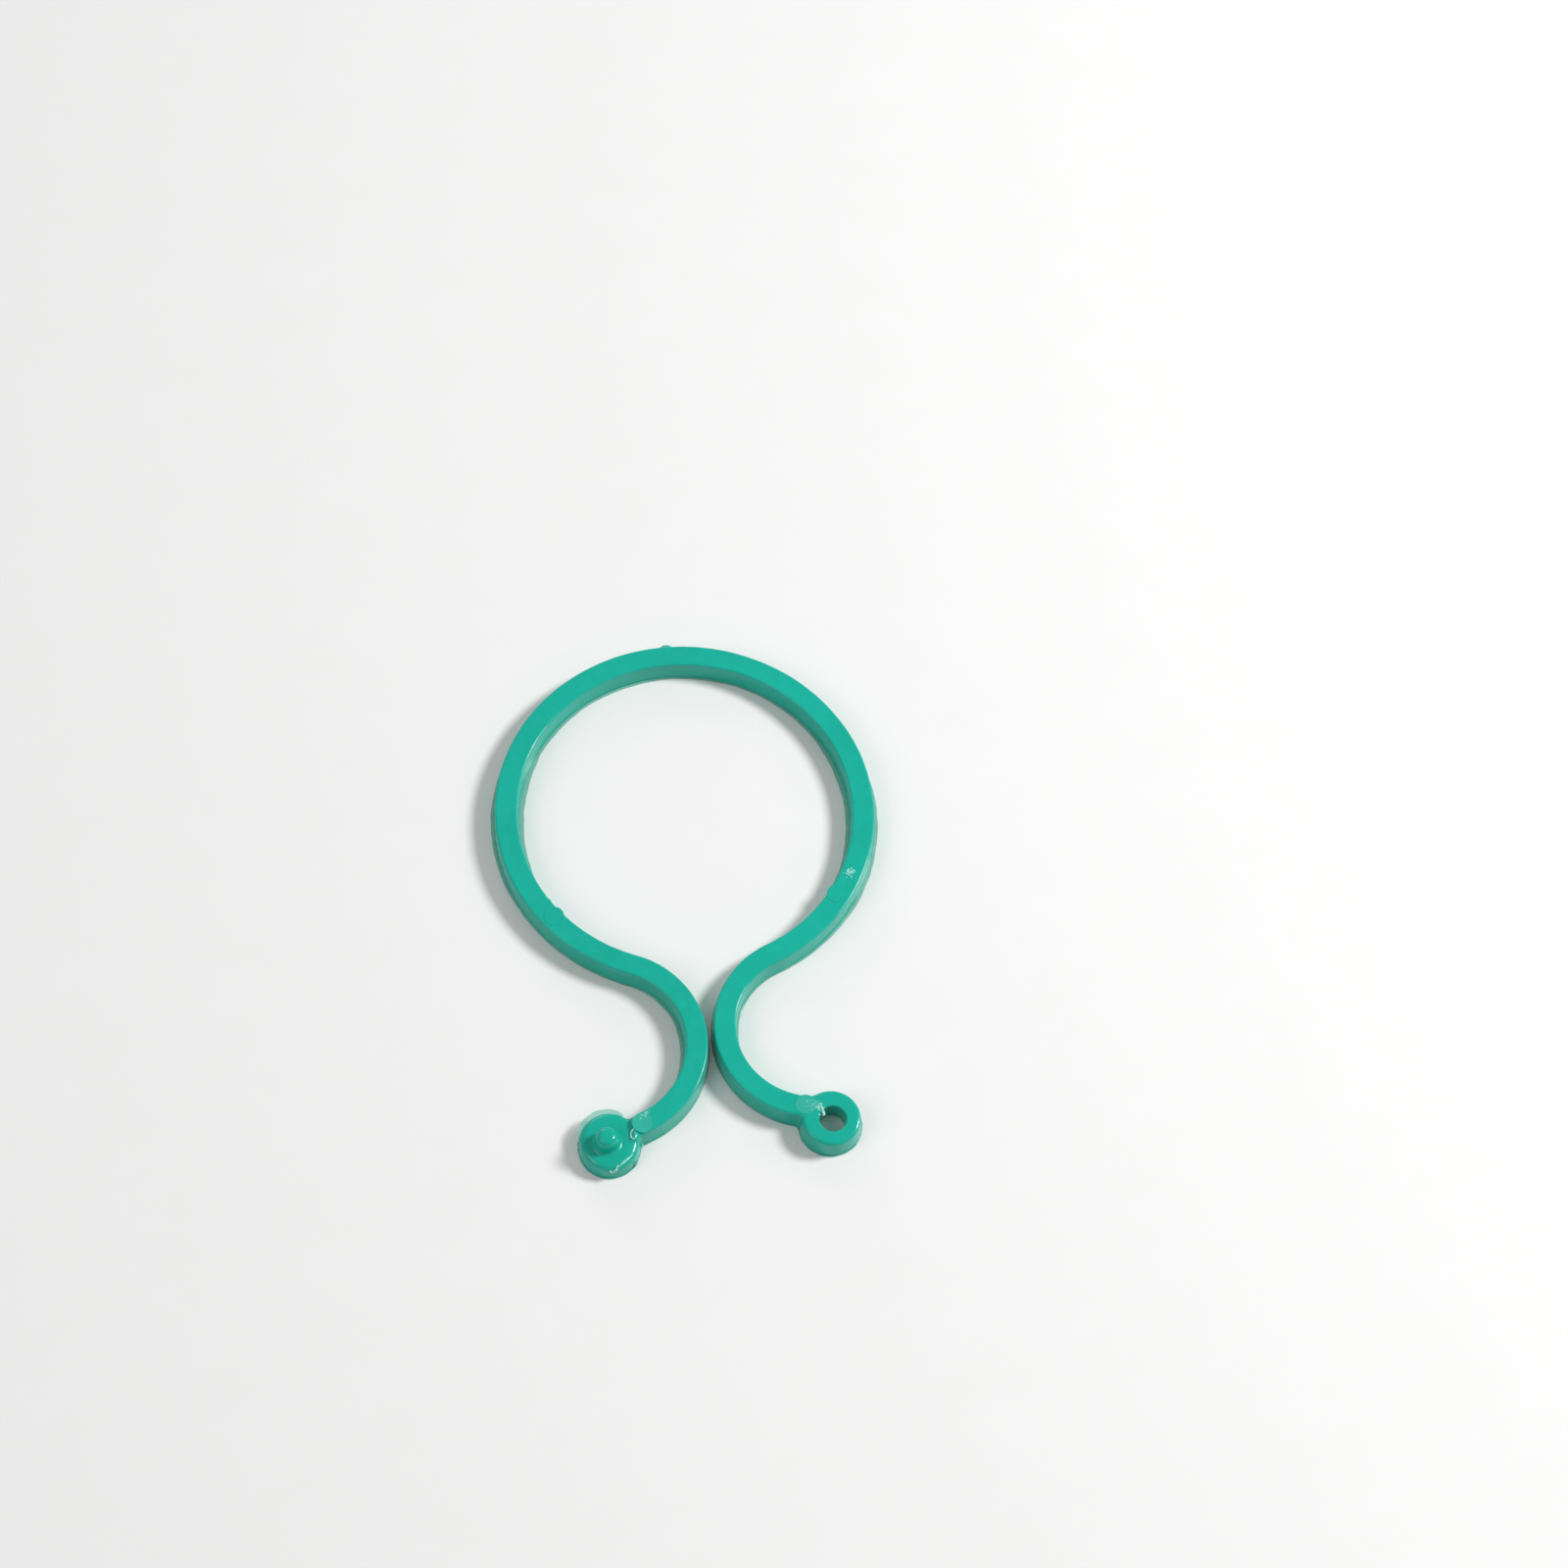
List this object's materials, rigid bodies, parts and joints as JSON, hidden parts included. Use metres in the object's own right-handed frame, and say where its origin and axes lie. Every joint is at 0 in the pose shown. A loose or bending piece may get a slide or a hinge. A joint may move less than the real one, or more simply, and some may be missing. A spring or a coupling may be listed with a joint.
{
  "type": "leg band",
  "caption": "Open spring ring for a bird's leg, with outward tails that cross so an upright stud snaps into an eyelet.",
  "frame": {"origin": "middle of the outline, on the flat underside", "axes": "+Y from the tails to the crown of the ring, +Z the way the stud points, +X towards the eyelet arm"},
  "size_m": [0.0294, 0.0438, 0.0028],
  "materials": {
    "moulding": "semi-gloss moulded polypropylene, teal green"
  },
  "bodies": {
    "crown": {"crown_band": "moulding"},
    "stud_shoulder": {"stud_shoulder": "moulding"},
    "stud_flank": {"stud_flank": "moulding"},
    "stud_end": {"stud_neck": "moulding", "stud_tail": "moulding", "stud_disc": "moulding", "stud_post": "moulding"},
    "eyelet_shoulder": {"eyelet_shoulder": "moulding"},
    "eyelet_flank": {"eyelet_flank": "moulding"},
    "eyelet_end": {"eyelet_neck": "moulding", "eyelet_tail": "moulding", "eyelet_ring": "moulding"}
  },
  "joints": [
    {"name": "stud_arm_spread", "type": "hinge", "parent": "crown", "child": "stud_shoulder", "pos_m": [-0.00881, 0.01745, 0.0009], "axis": [0, 0, -1], "range_deg": [0, 12], "stiffness_Nm_per_rad": 0.1},
    {"name": "stud_arm_lift", "type": "hinge", "parent": "stud_shoulder", "child": "stud_flank", "pos_m": [-0.01323, 0.0105, 0.0009], "axis": [-0.9659, 0.2588, 0], "range_deg": [-6, 6], "stiffness_Nm_per_rad": 0.045},
    {"name": "stud_arm_spread_lower", "type": "hinge", "parent": "stud_flank", "child": "stud_end", "pos_m": [-0.01287, 0.00227, 0.0009], "axis": [0, 0, -1], "range_deg": [0, 7.2]},
    {"name": "eyelet_arm_spread", "type": "hinge", "parent": "crown", "child": "eyelet_shoulder", "pos_m": [0.00881, 0.01745, 0.0009], "axis": [0, 0, 1], "range_deg": [0, 12], "stiffness_Nm_per_rad": 0.1},
    {"name": "eyelet_arm_lift", "type": "hinge", "parent": "eyelet_shoulder", "child": "eyelet_flank", "pos_m": [0.01323, 0.0105, 0.0009], "axis": [-0.9659, -0.2588, 0], "range_deg": [-6, 6], "stiffness_Nm_per_rad": 0.045},
    {"name": "eyelet_arm_spread_lower", "type": "hinge", "parent": "eyelet_flank", "child": "eyelet_end", "pos_m": [0.01287, 0.00227, 0.0009], "axis": [0, 0, 1], "range_deg": [0, 7.2]}
  ],
  "couplings": [
    {"joint": "stud_arm_spread_lower", "follows": "stud_arm_spread", "ratio": 0.6},
    {"joint": "eyelet_arm_spread_lower", "follows": "eyelet_arm_spread", "ratio": 0.6}
  ]
}
